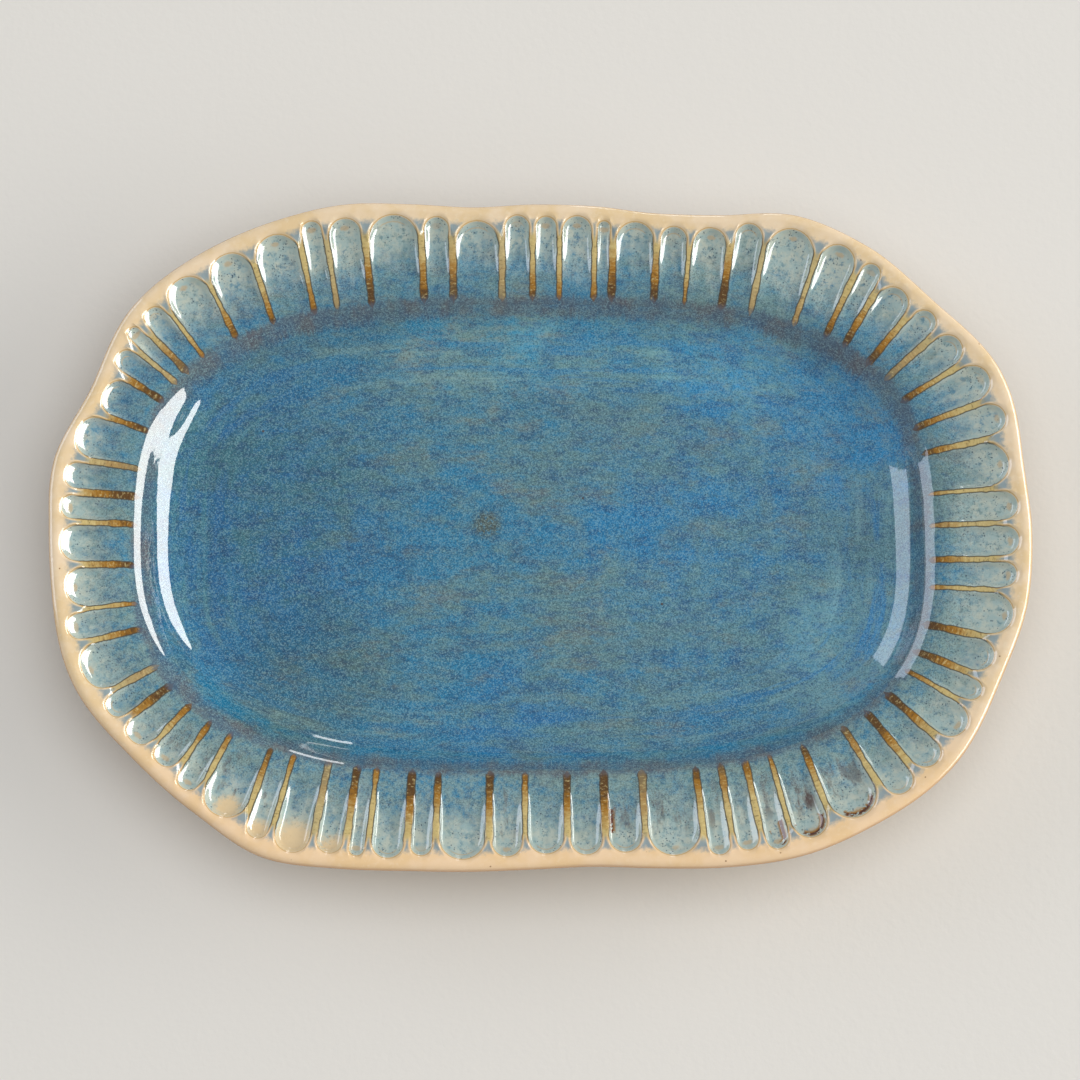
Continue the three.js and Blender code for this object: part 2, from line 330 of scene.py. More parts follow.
def platterRows():
    # rows of (v, z) from the floor's edge over the rim and under to the foot, one row per step
    flat = np.ones_like(across)
    noseCentre = columnEdge - lip["roll"]
    wall = floorEdge * (1 - spread(rowCounts["wall"])) * flat
    shoulder = (shoulderEnd + flutes["start"]) * spread(rowCounts["shoulder"], 1) * flat
    alongFlutes = 1 - (1 - spread(rowCounts["flutes"], 1)) ** rowCrowding["flutes"]
    band = shoulder[-1] + (scallop - shoulder[-1]) * alongFlutes
    overLip = scallop + (noseCentre - scallop) * spread(rowCounts["lip"], 1) ** rowCrowding["lip"]
    topRows = np.vstack([wall, shoulder, band, overLip])
    wallHeights = wallHeight(handWorked(columnU, wall))
    topHeights = np.vstack([wallHeights, rimSurface(np.vstack([shoulder, band, overLip]))])
    turn = np.pi * (0.5 - spread(rowCounts["nose"], 1))
    noseRows = noseCentre + lip["roll"] * np.cos(turn)
    lean = rim["slope"] * (noseRows - noseCentre) * (1 + np.sin(turn)) / 2
    noseHeights = wallHeight(noseCentre) + lip["half"] * (np.sin(turn) - 1) + lean
    alongUnder = spread(rowCounts["underRim"], 1)
    under = noseCentre + (back["reach"] - noseCentre) * alongUnder
    drop = noseHeights[-1] + (backHeight(back["reach"]) - noseHeights[-1]) * alongUnder
    backWall = back["reach"] - (back["reach"] + back["inset"]) * spread(rowCounts["backWall"], 1) * flat
    seat = np.full((1, len(across)), footOuter)
    seatHeight = np.full_like(seat, back["foot"])
    rows = np.vstack([topRows, noseRows, under, backWall, seat])
    heights = np.vstack([topHeights, noseHeights, drop, backHeight(backWall), seatHeight])
    return rows, heights


def platterSkin():
    # the whole glazed surface as one grid: shrinking copies of the floor's edge,
    # then each row out along the oval's normal
    rows, heights = platterRows()
    outer = np.dstack([columnPoint + rows[..., None] * columnNormal, heights])
    shrink = spread(rowCounts["floor"])[:-1, :, None]
    floor = outer[0] * shrink
    ring = shrink[..., 0] * oval["size"].mean() / 2
    rings = well["ringHeight"] * np.sin(2 * np.pi * ring / well["ringStep"])
    floor[..., 2] = well["floor"] + rings * (1 - shrink[..., 0] ** 4)
    inward = floorEdge - (1 - shrink[..., 0]) * well["ringReach"] * np.ones_like(across)
    points = np.vstack([floor, outer])
    out = np.vstack([inward, rows])
    inset, half = insideFlute(out)[1:]
    half = np.maximum(half, 0.1)  # stays above zero on the floor, where the normals meet
    toolLong, toolWide = flutes["toolSize"]
    toolSpot = np.hypot((perColumn["top"] - out - flutes["toolPlace"]) / toolLong, across * half / toolWide)
    ridgeSeed = np.where(across > 0, nextSeed, perColumn["seed"])
    facts = {
        "out": out,
        "inset": inset,
        "endGap": perColumn["top"] - out,
        "cusp": topLine - out,
        "edgeGap": columnEdge - out,
        "seed": np.broadcast_to(perColumn["seed"], out.shape),
        "ridgeSeed": np.broadcast_to(ridgeSeed, out.shape),
        "toolSpot": toolSpot,
        "land": half * (1 / perColumn["share"] - 1),
        "spine": np.dstack([np.broadcast_to(columnPoint, out.shape + (2,)), out]),
    }
    return points, facts


def gridNormals(points):
    # cross product of the steps across the columns and along the rows, upright in the middle
    normal = np.cross(np.roll(points, -1, 1) - np.roll(points, 1, 1), np.gradient(points, axis=0))
    normal[0] = (0, 0, 1)
    return normal / np.linalg.norm(normal, axis=-1, keepdims=True)


skinPoints, skinFacts = platterSkin()
skinNormals = gridNormals(skinPoints)
rowAt = dict(zip(rowCounts, np.cumsum(list(rowCounts.values()))))  # last row of each stretch
print("skin:", skinPoints.shape)


def closedGrid(name, points, normals, facts, poles):
    # rows of points, closed round each row; the row ends are poles, or the last row joins the first
    count, wide = points.shape[:2]
    places = points.reshape(-1, 3).copy()
    places[:, :2] += oval["centre"]
    index = np.arange(count * wide).reshape(count, wide)
    if poles:
        index[0], index[-1] = index[0, 0], index[-1, 0]
    lower = index[:-1] if poles else index
    upper = index[1:] if poles else np.roll(index, -1, 0)
    used = np.unique(index)
    quads = np.stack([lower, np.roll(lower, -1, 1), np.roll(upper, -1, 1), upper], -1).reshape(-1, 4)
    quads = np.searchsorted(used, quads)
    faces = quads.tolist()
    if poles:
        faces = quads[wide:-wide].tolist() + quads[:wide, [0, 2, 3]].tolist() + quads[-wide:, :3].tolist()
    mesh = bpy.data.meshes.new(name)
    mesh.from_pydata((places[used] / 1000).tolist(), [], faces, shade_flat=False)
    for label, values in facts.items():
        width = 3 if values.ndim == 3 else 1
        layer = mesh.attributes.new(label, "FLOAT_VECTOR" if width == 3 else "FLOAT", "POINT")
        layer.data.foreach_set("vector" if width == 3 else "value",
                               values.reshape(-1, width)[used].astype(np.float32).ravel())
    mesh.normals_split_custom_set_from_vertices(normals.reshape(-1, 3)[used].tolist())
    piece = bpy.data.objects.new(name, mesh)
    bpy.context.scene.collection.objects.link(piece)
    return piece


coats = {
    "thickness": 0.45,
    "plainStep": 4,  # every fourth column is enough away from the flutes
    "recessRings": 12,
    "recessLevels": (4.98, 4.5),  # upper and lower face of the coat inside the foot ring
}
clay = {"gap": 0.5, "step": 2, "recessRings": 8}  # how far it lies under the skin, clear of the coats


def coat(name, rows, step, innerStep):
    # a stretch of the skin, backed by an offset copy with fewer rows
    points, normals = skinPoints[rows, ::step], skinNormals[rows, ::step]
    keep = np.unique(np.append(np.arange(0, len(points), innerStep), len(points) - 1))[::-1]
    inner = points[keep] - coats["thickness"] * normals[keep]
    facts = {label: np.concatenate([values[rows, ::step], values[rows, ::step][keep]])
             for label, values in skinFacts.items()}
    grid, normals = np.concatenate([points, inner]), np.concatenate([normals, -normals[keep]])
    return closedGrid(name, grid, normals, facts, rows.start == 0)


def clayCore():
    # the clay under the coats: the skin drawn in, closed across the recess
    step = clay["step"]
    rows = np.unique(np.append(np.arange(0, len(skinPoints), step), len(skinPoints) - 1))
    normals = skinNormals[rows, ::step]
    points = skinPoints[rows, ::step] - clay["gap"] * normals
    recess = points[-1] * (1 - spread(clay["recessRings"], 1)[:, :, None])
    recess[..., 2] = points[-1, :, 2]
    normals = np.concatenate([normals, np.broadcast_to([0, 0, -1.0], recess.shape)])
    return closedGrid("clayCore", np.concatenate([points, recess]), normals, {}, True)


def footRing():
    # a tapered section with rounded edges, carried round the oval
    arc = np.linspace(0, np.pi / 2, foot["arcSteps"])
    taper, bend = foot["taper"], foot["round"]
    profile = np.concatenate([
        [[footOuter, foot["height"]]],
        np.stack([footOuter - taper - bend + bend * np.cos(arc), bend - bend * np.sin(arc)], -1),
        np.stack([footInner + taper + bend - bend * np.sin(arc), bend - bend * np.cos(arc)], -1),
        [[footInner, foot["height"]]],
    ])
    side = np.gradient(profile, axis=0)
    face = np.stack([-side[:, 1], side[:, 0]], -1) / np.linalg.norm(side, axis=-1)[:, None]
    points, normal = columnPoint[::coats["plainStep"]], columnNormal[::coats["plainStep"]]
    shape = (len(profile), len(points))
    places = points + profile[:, 0, None, None] * normal
    grid = np.dstack([places, np.broadcast_to(profile[:, 1, None], shape)])
    normals = np.dstack([face[:, 0, None, None] * normal, np.broadcast_to(face[:, 1, None], shape)])
    return closedGrid("footRing", grid, normals, {}, False)


def recessCoat():
    # a level disc inside the foot ring: out along its upper face and back along its lower one
    edge = columnPoint[::coats["plainStep"]] + footInner * columnNormal[::coats["plainStep"]]
    shares = spread(coats["recessRings"])
    levels = np.repeat(coats["recessLevels"], len(shares))[:, None]
    grid = np.dstack([edge * np.concatenate([shares, shares[::-1]])[:, :, None],
                      np.broadcast_to(levels, (len(levels), len(edge)))])
    normals = np.zeros_like(grid)
    normals[:len(shares), :, 2] = 1
    normals[len(shares):, :, 2] = -1
    return closedGrid("recessCoat", grid, normals, {}, True)


wellCoat = coat("wellCoat", slice(0, rowAt["wall"] + 1), step=coats["plainStep"], innerStep=6)
flutedBand = coat("flutedBand", slice(rowAt["wall"], rowAt["flutes"] + 1), step=1, innerStep=5)
lipBand = coat("lipBand", slice(rowAt["flutes"], rowAt["nose"] + 1), step=1, innerStep=5)
backCoat = coat("backCoat", slice(rowAt["nose"], None), step=coats["plainStep"], innerStep=5)
clayPiece = clayCore()
footPiece = footRing()
recessPiece = recessCoat()
print("coats, clay and foot built")


class Wire:
    # one socket of a material; arithmetic on it adds Math nodes
    def __init__(self, tree, socket=None):
        self.tree = tree
        self.socket = socket

    def make(self, kind, settings, inputs, output=0):
        node = self.tree.nodes.new(kind)
        for name, value in settings.items():
            setattr(node, name, value)
        for name, value in inputs.items():
            if isinstance(value, Wire):
                self.tree.links.new(value.socket, node.inputs[name])
            else:
                node.inputs[name].default_value = value
        return Wire(self.tree, node.outputs[output] if node.outputs else None)

    def maths(self, operation, *terms):
        return self.make("ShaderNodeMath", {"operation": operation}, dict(enumerate(terms)))

    def __add__(self, other):
        return self.maths("ADD", self, other)

    def __sub__(self, other):
        return self.maths("SUBTRACT", self, other)

    def __rsub__(self, other):
        return self.maths("SUBTRACT", other, self)

    def __mul__(self, other):
        return self.maths("MULTIPLY", self, other)

    __radd__ = __add__
    __rmul__ = __mul__


def tint(code):
    # a colour as the eye reads it, to the renderer's linear values
    share = np.array([int(code[i:i + 2], 16) for i in (0, 2, 4)]) / 255
    linear = np.where(share <= 0.04045, share / 12.92, ((share + 0.055) / 1.055) ** 2.4)
    return (*linear.tolist(), 1.0)


def ease(value, low, high):
    # 0 at low and 1 at high, with a smooth start and end
    return value.make("ShaderNodeMapRange", {"interpolation_type": "SMOOTHSTEP"},
                      {"Value": value, "From Min": low, "From Max": high})


def between(value, low, high, soft):
    # 1 between low and high, with soft ends
    return ease(value, low - soft, low + soft) * ease(value, high + soft, high - soft)


def blend(share, under, over, way="MIX"):
    # sockets 0, 6 and 7 are the factor and the two colours of a colour mix, and its result is output 2
    under, over = (tint(colour) if isinstance(colour, str) else colour for colour in (under, over))
    settings = {"data_type": "RGBA", "blend_type": way}
    return share.make("ShaderNodeMix", settings, {0: share, 6: under, 7: over}, 2)


def noise(place, size, detail=2.0, rough=0.5, stretch=(1, 1, 1)):
    # soft random clouds about 0.5
    scaled = place.make("ShaderNodeVectorMath", {"operation": "MULTIPLY"}, {0: place, 1: stretch})
    return place.make("ShaderNodeTexNoise", {}, {
        "Vector": scaled, "Scale": 1 / size, "Detail": detail, "Roughness": rough})


def cellDraw(place, spacing):
    # an even draw from 0 to 1 for each cell
    hue = place.make("ShaderNodeTexVoronoi", {}, {"Vector": place, "Scale": 1 / spacing}, "Color")
    return place.make("ShaderNodeSeparateColor", {}, {"Color": hue})


fullInside = {"speck": 0.55, "patch": 0.35}  # share of the radius within which a mark is full


def specks(place, spacing, radius, share):
    # round dots, on a share of the cells
    cells = place.make("ShaderNodeTexVoronoi", {}, {"Vector": place, "Scale": 1 / spacing})
    dots = ease(cells, radius / spacing, fullInside["speck"] * radius / spacing)
    return dots * ease(cellDraw(place, spacing), share, share * 0.98)


def near(place, spot, radius, ragged):
    # 1 well inside a ragged round patch about a point, as seen from above, and 0 outside it
    level = place.make("ShaderNodeVectorMath", {"operation": "MULTIPLY"}, {0: place, 1: (1, 1, 0)})
    gap = place.make("ShaderNodeVectorMath", {"operation": "DISTANCE"}, {0: level, 1: (*spot, 0)}, "Value")
    return ease(gap + ragged, radius, radius * fullInside["patch"])


def nearAny(place, marks, ragged):
    # the patches about several points, added up
    total = 0.0
    for spot, radius in marks:
        total = near(place, spot, radius, ragged) + total
    return total


def fact(paint, name, output="Fac"):
    # what the skin keeps at each of its points
    return paint.make("ShaderNodeAttribute", {"attribute_name": name}, {}, output)


def alongY(place):
    # the Y of a place, which falls towards the front
    return place.make("ShaderNodeSeparateXYZ", {}, {"Vector": place}, "Y")


gloss = {"IOR": 1.6, "Specular IOR Level": 1.0, "Roughness": 0.04}
ripple = {"size": 5.0, "depth": 0.00003}  # slow unevenness of the melted surface


def newMaterial(name):
    # an empty material, and the place on the object in millimetres
    material = bpy.data.materials.new(name)
    material.use_nodes = True
    material.node_tree.nodes.clear()
    paint = Wire(material.node_tree)
    place = paint.make("ShaderNodeTexCoord", {}, {}, "Object")
    place = paint.make("ShaderNodeVectorMath", {"operation": "SCALE"}, {0: place, "Scale": 1000.0})
    return material, paint, place


def finishMaterial(paint, colour, height, depth=ripple["depth"], fixed=gloss):
    # glossy and faintly rippled, unless told otherwise
    bump = paint.make("ShaderNodeBump", {}, {"Height": height, "Distance": depth})
    shader = paint.make("ShaderNodeBsdfPrincipled", {}, {"Base Color": colour, "Normal": bump, **fixed})
    paint.make("ShaderNodeOutputMaterial", {}, {"Surface": shader})


# In the looks, a noise is its size in millimetres, detail, roughness and stretch, and a share is how
# much of a colour goes on at most
blueLook = {
    "clear": "1278a2", "grey": "5a8084", "deep": "16507a", "dull": "4e6876", "vivid": "1a72a0",
    "pale": "7ba09f", "ochre": "7f7a62", "paleGrain": "98bec2", "darkGrain": "122c42",
    "shares": {
        "deep": 0.65, "ochre": 0.4, "dull": 0.35, "vivid": 0.7, "pale": 0.5,
        "paleGrain": 0.46, "darkGrain": 0.6,
    },
    "streakPull": (0.03, 0.035, 0.0),  # streaks per millimetre along X and Y
    "ringPull": 0.14,  # and out from the oval, so that they bend round with it
    "streaks": (1.0, 5.0, 0.66),
    "broad": (50.0, 3.0, 0.6, (0.6, 1, 1)),
    "mottle": (8.0, 5.0, 0.78, (0.5, 1, 1)),
    "mixture": (0.38, 0.44, 0.18),  # of broad patches, mottling and streaks
    "pools": (6.0, 5.0, 0.78, (0.5, 1, 1)),
    "thinPlaces": (13.0, 6.0, 0.78, (0.45, 1, 1)),
    "coveLines": (5.0, 4.0, 0.62, (0.07, 0.07, 1)),
    "covePatches": (28.0, 3.0),
    "coveReach": (-34.0, -9.0, 6.0),  # out from the oval, from and to, and how softly it ends
    "grainCell": 0.38,
    "grainClumps": (0.7, 2.0, 0.7),
}


def blueGlaze(place, spine, out):
    # broad patches from clear blue to grey and ochre, with rings and long streaks through them
    look, share = blueLook, blueLook["shares"]
    rings = place.make("ShaderNodeCombineXYZ", {}, {"Z": out * look["ringPull"]})
    drift = place.make("ShaderNodeVectorMath", {"operation": "MULTIPLY_ADD"},
                       {0: place, 1: look["streakPull"], 2: rings})
    streaks = noise(drift, *look["streaks"])
    broad, mottled, streaked = look["mixture"]
    patches = noise(place, *look["broad"]) * broad + noise(place, *look["mottle"]) * mottled
    patches = patches + streaks * streaked
    colour = blend(ease(patches, 0.41, 0.59), look["clear"], look["grey"])
    pools = ease(noise(place, *look["pools"]), 0.46, 0.64)
    colour = blend(pools * share["deep"], colour, look["deep"])
    thin = ease(noise(place, *look["thinPlaces"]), 0.52, 0.66)
    colour = blend(thin * share["ochre"], colour, look["ochre"])
    colour = blend(ease(streaks, 0.52, 0.7) * share["dull"], colour, look["dull"])
    lines = noise(spine, *look["coveLines"])
    cove = between(out, *look["coveReach"]) * ease(noise(place, *look["covePatches"]), 0.3, 0.5)
    colour = blend(ease(lines, 0.5, 0.64) * cove * share["vivid"], colour, look["vivid"])
    return blend(ease(lines, 0.48, 0.32) * cove * share["pale"], colour, look["pale"])


def grained(colour, place, strength):
    # fine pale and dark grain of the crystals in the glaze, each cell drawn by itself
    look, share = blueLook, blueLook["shares"]
    grain = cellDraw(place, look["grainCell"]) * 0.75 + noise(place, *look["grainClumps"]) * 0.5 - 0.125
    colour = blend(ease(grain, 0.45, 1.0) * strength * share["paleGrain"], colour, look["paleGrain"])
    return blend(ease(grain, 0.55, 0.0) * strength * share["darkGrain"], colour, look["darkGrain"])


hazeLook = {
    "brown": "5c5a60", "purple": "4a5f74",
    "reach": (-5.6, -2.0, 1.3, 4.0),  # out from the oval: where it starts, is full, fades and ends
    "tight": 0.8,  # how much later it starts along the front
    "front": (-30.0, -80.0),
    "runs": (0.9, 3.0, 0.7, (1, 1, 0.12)),
    "runLength": 5.0,
    "swells": (18.0, 3.0, 0.6, (1, 1, 0.2)),
    "swellLength": 6.0,
    "patches": (13.0, 4.0, 0.65, (1, 1, 0.3)),
    "tones": (9.0, 3.0),
}


def shoulderHaze(colour, spine, out):
    # brown-purple break over the shoulder, drawn out in fine runs
    look = hazeLook
    reach = out + (noise(spine, *look["runs"]) - 0.5) * look["runLength"]
    reach = reach + (noise(spine, *look["swells"]) - 0.5) * look["swellLength"]
    low, lowFull, highFull, high = look["reach"]
    front = ease(alongY(spine), *look["front"])
    band = ease(reach - front * look["tight"], low, lowFull) * ease(reach, high, highFull)
    patchy = ease(noise(spine, *look["patches"]), 0.3, 0.65) * 0.5 + 0.4
    tone = blend(ease(noise(spine, *look["tones"]), 0.42, 0.6), look["purple"], look["brown"])
    return blend(band * patchy, colour, tone)


floorMarks = {
    "bloom": ((-20.7, 7.5), 8.0),
    "bloomColour": "50523c",
    "bloomGrain": (1.2, 3.0, 0.7),
    "specks": [((-108.9, 45.0), 0.7), ((16.9, 18.0), 0.6), ((47.6, -24.3), 0.7)],
    "speckColour": "4a3524",
    "share": 0.85,  # of the bloom and the specks
    "paintedLightWashes": [
        ((-118.0, 10.0), 85.0, (0.32, 0.72, 0.9)),
        ((-90.0, -55.0), 45.0, (0.9, 0.82, 0.76)),
        ((95.0, 5.0), 115.0, (0.84, 1.04, 1.2)),
        ((0.0, -80.0), 42.0, (0.7, 0.93, 1.08)),
        ((-28.0, 90.0), 42.0, (1.6, 1.45, 1.35)),
        ((25.0, 92.0), 42.0, (1.3, 1.4, 1.4)),
        ((75.0, 90.0), 45.0, (1.5, 1.5, 1.45)),
        ((122.0, -42.0), 42.0, (1.5, 1.42, 1.4)),
        ((126.0, 45.0), 48.0, (1.4, 1.25, 1.2)),
    ],  # painted light and shade, darker on the left, lighter along the back and the right, and bluer in places: spot, radius, and how much of each colour it lets through
    "paintedLightEdge": (30.0, 4.0),
    "paintedLightRagged": 40.0,
}


def wellFinish():
    material, paint, place = newMaterial("wellGlaze")
    out, spine = fact(paint, "out"), fact(paint, "spine", "Vector")
    colour = blueGlaze(place, spine, out)
    # painted light and shade over the floor: broad patches, darker on the left and lighter along the back
    # and the right
    ragged = (noise(place, *floorMarks["paintedLightEdge"]) - 0.5) * floorMarks["paintedLightRagged"]
    for spot, radius, paintedLightTint in floorMarks["paintedLightWashes"]:
        colour = blend(near(place, spot, radius, ragged), colour, (*paintedLightTint, 1.0), "MULTIPLY")
    colour = shoulderHaze(colour, spine, out)
    bloomGrain = ease(noise(place, *floorMarks["bloomGrain"]), 0.3, 0.52)
    bloom = near(place, *floorMarks["bloom"], 0.0) * bloomGrain
    colour = grained(blend(bloom * floorMarks["share"], colour, floorMarks["bloomColour"]), place, 1.0)
    for spot, radius in floorMarks["specks"]:
        speck = near(place, spot, radius, 0.0)
        colour = blend(speck * floorMarks["share"], colour, floorMarks["speckColour"])
    finishMaterial(paint, colour, noise(place, ripple["size"]))
    return material


ridgeLook = {
    "gold": "c8b274", "amber": "9e6c06", "brown": "452a00", "honey": "dfcd90", "straw": "b5a67a",
    "shares": {"tip": 0.88, "straw": 0.6, "flecks": 0.55},
    "amberReach": (21.0, 8.0),  # out from the oval: where it starts and is full
    "tipReach": (10.0, 2.0),
    "bands": (1.7, 4.0, 0.75, (0.3, 0.3, 1)),
    "bandShift": 18.0,
    "ridgeShift": 14.0,  # how far one ridge may differ from the next
    "flecks": (0.9, 3.0, 0.7, (0.5, 0.5, 1)),
    "half": 1.15,  # half the coloured width
    "uneven": (7.0, 2.0, 0.5, (0.6, 0.6, 1)),
    "edgeLine": "413a2a", "edgeShare": 0.85,
}


def ridgeColour(spine, out, ridgeSeed):
    # gold to amber to a dark tip towards the well, in uneven bands across the ridge
    look, share = ridgeLook, ridgeLook["shares"]
    bands = (noise(spine, *look["bands"]) - 0.5) * look["bandShift"]
    reach = out + bands + (ridgeSeed - 0.5) * look["ridgeShift"]
    colour = blend(ease(reach, *look["amberReach"]), look["gold"], look["amber"])
    colour = blend(ease(reach, *look["tipReach"]) * share["tip"], colour, look["brown"])
    drawn = ridgeSeed * 7.3  # its fraction is a second draw for each ridge
    colour = blend(ease(drawn.maths("FRACT", drawn), 0.7, 0.9) * share["straw"], colour, look["straw"])
    flecks = noise(spine, *look["flecks"])
    colour = blend(ease(flecks, 0.52, 0.7) * share["flecks"], colour, look["honey"])
    return blend(ease(flecks, 0.46, 0.3) * share["flecks"], colour, look["brown"])


fluteLook = {
    "pale": "c2cabc", "mist": "a9bfbc", "veil": "8ba39c", "speck": "2a4258", "tool": "c0ab88",
    "shares": {"pale": 0.94, "stain": 0.75, "edge": 0.5, "speck": 0.75, "tool": 0.75},
    "veilShares": (0.25, 0.4),  # at the back, and how much more at the front
    "front": (60.0, -60.0),
    "paleReach": (7.0, 30.0),  # out from the oval: where it starts and is full
    "runs": (3.4, 6.0, 0.7, (1, 1, 0.5)),
    "runLength": 30.0,
    "fluteShift": 8.0,  # how far one flute may differ from the next
    "mistPatches": (4.0, 4.0, 0.65),
    "veilPatches": (3.0, 5.0, 0.75),
    "stains": (2.4, 5.0, 0.7),
    "coarseSpecks": (1.25, 0.42, 0.65),  # spacing, radius and share of the cells
    "fineSpecks": (0.85, 0.24, 0.6),
    "speckPatches": (4.5, 3.0),
    "toolEdge": (1.2, 2.0),
}


def troughColour(place, spine, out, inset, seed, endGap, toolSpot):
    # the well's blue thins to a stained and speckled grey-green towards the outer end
    look, share = fluteLook, fluteLook["shares"]
    runs = (noise(spine, *look["runs"]) - 0.5) * look["runLength"]
    wander = out + runs + (seed - 0.5) * look["fluteShift"]
    pale = blend(ease(noise(place, *look["mistPatches"]), 0.38, 0.62), look["pale"], look["mist"])
    veilBack, veilFront = look["veilShares"]
    front = ease(alongY(place), *look["front"])
    thin = ease(noise(place, *look["veilPatches"]), 0.36, 0.6) * (front * veilFront + veilBack)
    blue = blend(thin, blueGlaze(place, spine, out), look["veil"])
    colour = blend(ease(wander, *look["paleReach"]) * share["pale"], blue, pale)
    stain = ease(noise(place, *look["stains"]), 0.5, 0.66) * ease(inset, 0.8, 3.0)
    colour = blend(stain * share["stain"], colour, blue)
    colour = blend(ease(inset, 1.7, 0.3) * ease(out, 8.0, 20.0) * share["edge"], colour, look["pale"])
    dots = specks(place, *look["coarseSpecks"]) + specks(place, *look["fineSpecks"])
    dots = dots * ease(noise(place, *look["speckPatches"]), 0.44, 0.58) * ease(out, 8.0, 15.0)
    colour = blend(dots * share["speck"], colour, look["speck"])
    ragged = (noise(place, *look["toolEdge"]) - 0.5) * 0.8
    tool = ease(toolSpot + ragged, 1.1, 0.5) * ease(seed, 0.25, 0.6)
    arc = between(inset + ragged * 0.2, 1.7, 2.1, 0.2) * ease(endGap, 4.5, 2.5) * ease(seed, 0.6, 0.3)
    return blend(tool.maths("MAXIMUM", tool, arc) * share["tool"], colour, look["tool"])


lipLook = {
    "cream": "eed6b4", "tan": "e6ca9c", "pale": "f3e4c8", "paintedWarmLight": "f6c48c",
    "edge": "b98a56", "iron": "7a4b22",
    "shares": {"pale": 0.35, "paintedWarmLight": 0.3, "edge": 0.85, "iron": 0.75, "pool": 0.85, "line": 0.8},
    "clouds": (14.0, 3.0, 0.6),
    "flecks": (2.0, 3.0, 0.6),
    # along Y: where the painted warm light on the front starts and where it is full
    "front": (-50.0, -110.0),
    "pinholes": (5.0, 0.45, 0.3),
    "pool": "73929f",  # blue that ran between the flutes' ends
    "line": "c19a5a",  # round the flutes' ends
}


def lipColour(place, edgeGap):
    # cream and tan clouds, painted warm light along the front, a worn edge and pinholes
    look, share = lipLook, lipLook["shares"]
    colour = blend(ease(noise(place, *look["clouds"]), 0.35, 0.65), look["cream"], look["tan"])
    colour = blend(ease(noise(place, *look["flecks"]), 0.5, 0.75) * share["pale"], colour, look["pale"])
    # painted warm light: a peach tint laid along the front of the lip
    colour = blend(ease(alongY(place), *look["front"]) * share["paintedWarmLight"], colour, look["paintedWarmLight"])
    colour = blend(ease(edgeGap, 1.0, 0.1) * share["edge"], colour, look["edge"])
    return blend(specks(place, *look["pinholes"]) * share["iron"], colour, look["iron"])


rimMarks = {
    "raggedEdge": (1.5, 3.0, 0.6),
    "scorched": [
        ((122.0, -107.2), 8.5), ((105.6, -114.6), 7.5), ((92.5, -116.0), 6.0), ((28.9, -111.6), 6.0),
    ],
    "scorchColour": "5e2800",
    "scorchBreaks": (1.6, 2.0),
    "haloShare": 0.9,
    "smeared": [((-139.5, -77.0), 9.0), ((33.1, -108.4), 9.0), ((98.1, -103.1), 10.0)],
    "smearColour": "5d4f4a",
    "smearShare": 0.6,
    "smearStreaks": (2.6, 4.0, 0.65, (1, 1, 0.3)),
    "frontStreaks": (4.0, 4.0, 0.65, (1, 1, 0.35)),
    "front": (-65.0, -95.0),
    "bareEnds": [
        ((-92.8, -121.0), 13.0), ((-77.5, -123.5), 8.0), ((-106.6, -116.5), 7.0), ((-118.6, -107.0), 7.0),
    ],
    "bareShare": 0.9,
}


def markedRim(colour, place, spine, out, inset, seed, ragged):
    # scorched strokes in an amber halo, dark smears drawn along the flutes, and flute ends left bare
    scorched = nearAny(place, rimMarks["scorched"], ragged * 5.0)
    breaks = noise(place, *rimMarks["scorchBreaks"])
    halo = ease(scorched, 0.1, 0.5) * between(inset, 0.4, 2.6, 0.5) * ease(breaks, 0.36, 0.46)
    colour = blend(halo * rimMarks["haloShare"], colour, ridgeLook["amber"])
    strokes = ease(scorched, 0.15, 0.4) * between(inset, 0.8, 1.9, 0.25) * ease(breaks, 0.38, 0.44)
    colour = blend(strokes, colour, rimMarks["scorchColour"])
    streaked = ease(noise(spine, *rimMarks["smearStreaks"]), 0.42, 0.6)
    drawn = ease(noise(spine, *rimMarks["frontStreaks"]), 0.5, 0.64) * between(out, 9.0, 26.0, 4.0)
    drawn = drawn * ease(alongY(place), *rimMarks["front"]) * ease(seed, 0.3, 0.5)
    smeared = nearAny(place, rimMarks["smeared"], ragged * 6.0) * streaked + drawn
    smeared = smeared * ease(inset, 0.7, 2.2) * rimMarks["smearShare"]
    colour = blend(smeared, colour, rimMarks["smearColour"])
    bare = nearAny(place, rimMarks["bareEnds"], ragged * 5.0)
    return blend(bare * ease(inset, -0.2, 0.4) * rimMarks["bareShare"], colour, lipLook["tan"])


